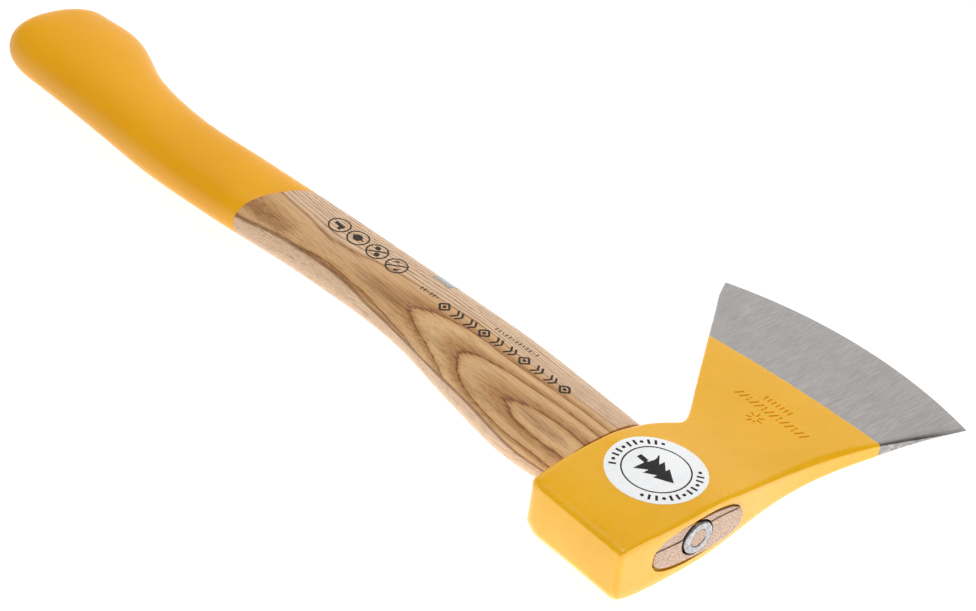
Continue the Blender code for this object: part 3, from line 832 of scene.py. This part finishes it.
def butt_xs(inset, steps=14):
    """Places of the rings on the dome, closer together towards its end."""
    depth = BUTT_DEPTH - inset
    angles = [0.5 * math.pi * k / (steps + 0.3) for k in range(steps, 0, -1)]
    return [KNOB_X - depth * math.sin(a) ** 0.9 for a in angles]


def tenon_ring(x, inset):
    return [(x, *squircle(EYE_HALF_LENGTH - inset, EYE_HALF_WIDTH - inset, EYE_SQUARENESS,
                          2.0 * math.pi * k / AROUND)) for k in range(AROUND)]


def make_handle(mat):
    bare = COAT + 0.15
    rings = [handle_ring(x, bare) for x in butt_xs(bare) + stations(KNOB_X, DIP_X - 0.4)]
    rings += [handle_ring(x) for x in stations(DIP_X - 0.1, SHOULDER_X)]
    rings += [tenon_ring(x, TENON_GAP) for x in (SHOULDER_X + 0.3, -30.0, -12.0, TENON_END_X - 0.5)]
    for a in np.linspace(0.4, 0.5 * math.pi, 4):
        rings.append(tenon_ring(TENON_END_X - TENON_ROUND + TENON_ROUND * math.sin(a),
                                TENON_GAP + TENON_ROUND * (1.0 - math.cos(a))))
    handle = add_piece("ash_handle", loft("handle", rings), [mat], ["handle"])
    cut(handle, crevice_cutter(), "crevice")
    cut(handle, seam_cutter(), "seam")
    handle.data.set_sharp_from_angle(angle=math.radians(35.0))
    return handle


def crevice_cutter():
    """The ring's seat, wider on the upper spine side, where the wood has broken away from the steel."""
    outer, inner, depth = WEDGE_OUTER + 0.72, WEDGE_BORE - 0.12, 9.0
    top = TENON_END_X + 2.0
    steps, verts, faces = 96, [], []
    for k in range(steps):
        c, s = math.cos(2 * math.pi * k / steps), math.sin(2 * math.pi * k / steps)
        rim = (WEDGE_CENTRE[0] - 0.62 + outer * c, WEDGE_CENTRE[1] + 0.55 + outer * s)
        bore = (WEDGE_CENTRE[0] + inner * c, WEDGE_CENTRE[1] + inner * s)
        verts += [(top, *bore), (top, *rim), (TENON_END_X - depth, *rim), (TENON_END_X - depth, *bore)]
    for k in range(steps):
        q = (k + 1) % steps
        for i in range(4):
            j = (i + 1) % 4
            faces.append((4 * k + i, 4 * k + j, 4 * q + j, 4 * q + i))
    return mesh_of("crevice", verts, faces)


def seam_cutter():
    """Takes the strip of wood beyond the seam down a little, with a fine slot along the seam."""
    ys = np.linspace(-24.0, 24.0, 25)
    rings = []
    for y in ys:
        seam = float(hermite(SEAM, y)[0])
        floor = TENON_END_X - SEAM_DROP
        rings.append([(4.0, y, seam), (floor - 1.3, y, seam), (floor - 1.3, y, seam + 0.35),
                      (floor, y, seam + 0.45), (floor, y, 14.0), (4.0, y, 14.0)])
    return loft("seam", rings)


def make_wedge(mat):
    """Ring wedge with a broken rim, a hair above the tenon's end."""
    face, rim, lip = TENON_END_X + 0.25, 0.8, 0.5
    outside = [(WEDGE_OUTER - rim + rim * math.sin(a), face - rim + rim * math.cos(a))
               for a in np.linspace(0.0, 0.5 * math.pi, 7)]
    inside = [(WEDGE_BORE + lip - lip * math.sin(a), face - lip + lip * math.cos(a))
              for a in np.linspace(0.5 * math.pi, 0.0, 6)]
    profile = [(WEDGE_BORE, face - 8.5)] + inside + outside + [(WEDGE_OUTER - 0.3, face - 8.5)]
    mesh = turned_mesh("wedge", profile)
    mesh.transform(Matrix.Translation(Vector((0.0, *WEDGE_CENTRE)) * MM))
    return add_piece("steel_ring_wedge", mesh, [mat], ["ring_wedge"])


def make_grip(mat):
    """The dipped coating: a skin over the handle, with a rounded lip at the dip line."""
    rings = [handle_ring(x) for x in butt_xs(0.0) + stations(KNOB_X, DIP_X - COAT)]
    for a in np.linspace(0.3, 0.5 * math.pi, 4):
        rings.append(handle_ring(DIP_X - COAT + COAT * math.sin(a), COAT * (1.0 - math.cos(a))))
    rings.append(handle_ring(DIP_X - 2.0, COAT + 0.05))
    rings.append(handle_ring(DIP_X - 6.0, COAT + 0.05))
    skin = loft("grip", rings, cap_end=False)
    return add_piece("dipped_grip", skin, [mat], ["grip_coating"])


# ---------------------------------------------------------------- labels and prints

def cheek_point(x, y, lift):
    return (x, y, float(cheek_height(x, y)) + PAINT_FILM + lift)


def handle_top(x, y, lift):
    """Point of the handle's upper side over (x, y)."""
    edge, spine, half_z, power = hermite(HANDLE_STATIONS, x)
    ratio = min(0.999, abs(y - 0.5 * (edge + spine)) / (0.5 * (edge - spine)))
    return (x, y, half_z * (1.0 - ratio**power) ** (1.0 / power) + lift)


class Print:
    """Flat shapes drawn in (x, y), laid on a curved surface as one thin skin of ink."""

    def __init__(self, surface, lift):
        self.surface, self.lift = surface, lift
        self.verts, self.faces = [], []

    def grid(self, rows):
        start, n = len(self.verts), len(rows[0])
        for row in rows:
            self.verts += [self.surface(x, y, self.lift) for x, y in row]
        for r in range(len(rows) - 1):
            for k in range(n - 1):
                a = start + r * n + k
                self.faces.append((a, a + 1, a + n + 1, a + n))

    def ring(self, cx, cy, inner, outer, start=0.0, end=360.0, steps=64):
        angles = np.radians(np.linspace(start, end, steps + 1))
        self.grid([[(cx + r * math.cos(a), cy + r * math.sin(a)) for a in angles] for r in (inner, outer)])

    def disc(self, cx, cy, radius, steps=32):
        self.ring(cx, cy, 0.001, radius, steps=steps)

    def bar(self, x0, y0, x1, y1, width, steps=6):
        a, b = np.array((x0, y0)), np.array((x1, y1))
        side = np.array((-(b - a)[1], (b - a)[0])) / np.linalg.norm(b - a) * 0.5 * width
        line = [a + (b - a) * t for t in np.linspace(0, 1, steps + 1)]
        self.grid([[p - side for p in line], [p + side for p in line]])

    def wedge(self, tip, left, right, steps=6):
        """A filled triangle."""
        tip, left, right = (np.array(p) for p in (tip, left, right))
        self.grid([[tip + (left - tip) * t for t in np.linspace(0.001, 1, steps + 1)],
                   [tip + (right - tip) * t for t in np.linspace(0.001, 1, steps + 1)]])

    def finish(self, name, mat):
        mesh = bpy.data.meshes.new(name)
        mesh.from_pydata([tuple(np.array(v) * MM) for v in self.verts], [], self.faces)
        bm = bmesh.new()
        bm.from_mesh(mesh)
        for face in bm.faces:
            face.normal_update()
            if face.normal.z < 0.0:
                face.normal_flip()
        bm.to_mesh(mesh)
        bm.free()
        return add_piece(name, mesh, [mat])


def film_disc(name, centre, radius, thickness, mat, replaced):
    """A thin round film that follows the cheek, with its own edge."""
    steps, rows = 96, 10
    verts = [cheek_point(*centre, thickness)]
    for r in list(np.linspace(radius / rows, radius, rows)) + [radius]:
        lift = thickness if len(verts) < 1 + rows * steps else 0.0
        for k in range(steps):
            a = 2.0 * math.pi * k / steps
            verts.append(cheek_point(centre[0] + r * math.cos(a), centre[1] + r * math.sin(a), lift))
    faces = [(0, 1 + k, 1 + (k + 1) % steps) for k in range(steps)]
    for r in range(rows):
        for k in range(steps):
            a, b = 1 + r * steps + k, 1 + r * steps + (k + 1) % steps
            faces.append((a, a + steps, b + steps, b))
    return add_piece(name, mesh_of(name, verts, faces), [mat], replaced)


def make_cheek_label(film, ink):
    """Round label: bars and dots round its rim, a thin ring, and a fir tree in the middle."""
    cx, cy = CHEEK_LABEL_CENTRE
    film_disc("cheek_label", (cx, cy), CHEEK_LABEL_RADIUS, FILM_THICKNESS, film, ["head_label"])
    art = Print(cheek_point, FILM_THICKNESS + INK_LIFT)
    art.ring(cx, cy, CHEEK_LABEL_RING - 0.3, CHEEK_LABEL_RING + 0.3, steps=96)
    middle = 0.5 * (CHEEK_LABEL_RING + CHEEK_LABEL_RADIUS)
    for arc_start, count in ((-62.0, 13), (128.0, 11)):
        for k in range(count):
            a = math.radians(arc_start + 9.6 * k)
            c, s = math.cos(a), math.sin(a)
            if k % 3 == 0:
                art.disc(cx + middle * c, cy + middle * s, 0.75)
            else:
                art.bar(cx + (middle - 1.4) * c, cy + (middle - 1.4) * s,
                        cx + (middle + 1.4) * c, cy + (middle + 1.4) * s, 1.0)
    for k, half in enumerate((6.6, 5.4, 4.1)):
        base = cx - 5.4 + 4.0 * k
        art.wedge((base + 6.6, cy), (base, cy - half), (base, cy + half))
    art.bar(cx - 9.4, cy, cx - 5.4, cy, 2.2)
    art.finish("cheek_label_print", ink)


def make_pictograms(ink):
    """Four rings, each with a plain mark in it."""
    art = Print(handle_top, INK_LIFT)
    r = PICTOGRAM_RADIUS
    for cx, cy in PICTOGRAMS:
        art.ring(cx, cy, r - 0.62, r, steps=48)
    (ax, ay), (bx, by), (cx, cy), (dx, dy) = PICTOGRAMS
    art.bar(ax - 2.4, ay, ax + 2.4, ay, 1.7)
    art.bar(ax + 1.4, ay - 2.2, ax + 1.4, ay + 0.4, 1.4)
    art.disc(bx - 0.2, by, 2.0)
    art.bar(bx - 2.9, by, bx + 2.9, by, 0.6)
    for px, py in ((cx, cy), (dx, dy)):
        art.bar(px - 2.9, py - 2.9, px + 2.9, py + 2.9, 0.7)
    for sx, sy in ((-1.3, 1.5), (1.3, -1.5)):
        art.disc(cx + sx, cy + sy, 1.15)
        art.wedge((dx + 2.2 * sx, dy + 0.3 * sy), (dx + 0.2 * sx, dy + 1.5 * sy),
                  (dx + 1.5 * sx, dy + 1.7 * sy))
    art.finish("handle_pictograms", ink)


def make_handle_rows(ink):
    """A border of lozenges and chevrons with two short rows of ticks."""
    art = Print(handle_top, INK_LIFT)
    start, end = np.array((-140.5, -0.6)), np.array((-79.0, 4.4))
    along = (end - start) / np.linalg.norm(end - start)
    up = np.array((-along[1], along[0]))
    for k in range(10):
        p = start + (end - start) * k / 9
        if k % 3 == 0:
            corners = [p - along * 2.5, p + up * 2.6, p + along * 2.5, p - up * 2.6]
            for a, b in zip(corners, corners[1:] + corners[:1]):
                art.bar(*a, *b, 0.9)
            art.disc(*p, 0.8)
        else:
            for shift in (-1.5, 0.7):
                tip = p + along * (shift + 1.5)
                for flank in (-2.5, 2.5):
                    art.bar(*(tip - along * 1.7 + up * flank), *tip, 0.85)
    for first, last, count in (((-119.7, 7.0), (-99.8, 9.6), 13), ((-154.0, -0.1), (-146.2, 0.9), 6)):
        first, last = np.array(first), np.array(last)
        for k in range(count):
            p = first + (last - first) * k / (count - 1)
            reach = 0.9 if k % 3 != 2 else 0.35
            art.bar(*(p - up * reach), *(p + up * reach), 0.5, steps=2)
    art.finish("handle_print_rows", ink)


def make_handle_label(mat):
    """Small foil wrapped over the rounded edge side of the handle."""
    nx, na = 14, 18
    xs = np.linspace(*HANDLE_LABEL_X, nx)
    angles = np.radians(np.linspace(*HANDLE_LABEL_ANGLE, na))
    verts = [handle_point(x, a, -FILM_THICKNESS) for x in xs for a in angles]
    verts += [handle_point(x, a, 0.0) for x in xs for a in angles]
    faces = []
    for i in range(nx - 1):
        for j in range(na - 1):
            a = i * na + j
            faces.append((a, a + 1, a + na + 1, a + na))
    rim = list(range(na)) + [i * na + na - 1 for i in range(1, nx)]
    rim += [(nx - 1) * na + j for j in range(na - 2, -1, -1)] + [i * na for i in range(nx - 2, 0, -1)]
    for a, b in zip(rim, rim[1:] + rim[:1]):
        faces.append((a, b, b + nx * na, a + nx * na))
    return add_piece("handle_foil", mesh_of("foil", verts, faces), [mat], ["handle_label"])


# ---------------------------------------------------------------- studio

def make_floor():
    """White light table. It lights the tool more than it glows to the camera, which keeps its shadows."""
    bpy.ops.mesh.primitive_plane_add(size=6.0, location=(0.0, 0.0, cad_box[0][2] - 0.0002))
    floor = bpy.context.object
    floor.name = "floor"
    s = Shader("pale_floor", roughness=0.9, specular_ior_level=0.1,
               emission_color=(1.0, 1.0, 1.0, 1.0))
    seen = s.node("ShaderNodeLightPath")
    s.set(base_color=s.mix(seen, (0.30, 0.30, 0.30), (0.20, 0.20, 0.20)))
    glow = s.scale_range(s.xyz(s.place())[0], -320.0, -60.0, *FLOOR_GLOW)
    shown = s.math("ADD", s.math("MULTIPLY", glow, s.math("SUBTRACT", 1.0, seen)),
                   s.math("MULTIPLY", seen, FLOOR_SEEN))
    s.set(emission_strength=shown)
    floor.data.materials.append(s.mat)


def area_light(name, place, size, power):
    """A soft rectangular light that points at the tool."""
    data = bpy.data.lights.new(name, "AREA")
    data.shape = "RECTANGLE"
    data.size, data.size_y = size
    data.energy = power
    light = bpy.data.objects.new(name, data)
    light.location = place
    light.rotation_euler = (-Vector(place)).to_track_quat("-Z", "Y").to_euler()
    bpy.context.scene.collection.objects.link(light)


def make_lights():
    """Dim room, a bright backdrop low behind the tool, and a soft light overhead."""
    world = bpy.data.worlds.new("studio")
    world.use_nodes = True
    world.node_tree.nodes["Background"].inputs[0].default_value = (1.0, 1.0, 1.0, 1.0)
    world.node_tree.nodes["Background"].inputs[1].default_value = ROOM
    bpy.context.scene.world = world
    bpy.context.scene.view_settings.view_transform = "Standard"
    area_light("backdrop", (-0.95, 1.20, 0.62), (2.2, 1.0), 5.6)
    area_light("overhead", (-0.05, 0.15, 1.7), (1.1, 1.1), 20.3)


def make_camera():
    """Long lens, seen from above the poll and the top of the head."""
    data = bpy.data.cameras.new("view")
    data.lens = LENS
    data.sensor_width = 36.0
    data.clip_end = 20.0
    camera = bpy.data.objects.new("view", data)
    az, el = math.radians(VIEW_AZIMUTH), math.radians(VIEW_ELEVATION)
    look = Vector((-math.sin(az) * math.cos(el), math.cos(az) * math.cos(el), -math.sin(el)))
    camera.location = Vector(VIEW_TARGET) - look * VIEW_DISTANCE
    turn = look.to_track_quat("-Z", "Y").to_matrix().to_4x4()
    camera.rotation_euler = (turn @ Matrix.Rotation(math.radians(VIEW_ROLL), 4, "Z")).to_euler()
    bpy.context.scene.collection.objects.link(camera)
    bpy.context.scene.camera = camera


def build():
    ink = printing_ink("black_ink", (0.022, 0.021, 0.020), 0.02)
    wood_ink = printing_ink("wood_ink", (0.036, 0.027, 0.020), 0.06)
    make_head([yellow_lacquer(), ground_steel()])
    make_handle(ash_wood())
    make_wedge(wedge_steel())
    make_grip(grip_lacquer())
    make_cheek_label(label_film(), ink)
    make_pictograms(wood_ink)
    make_handle_rows(wood_ink)
    make_handle_label(label_foil())
    make_floor()
    make_lights()
    make_camera()


build()
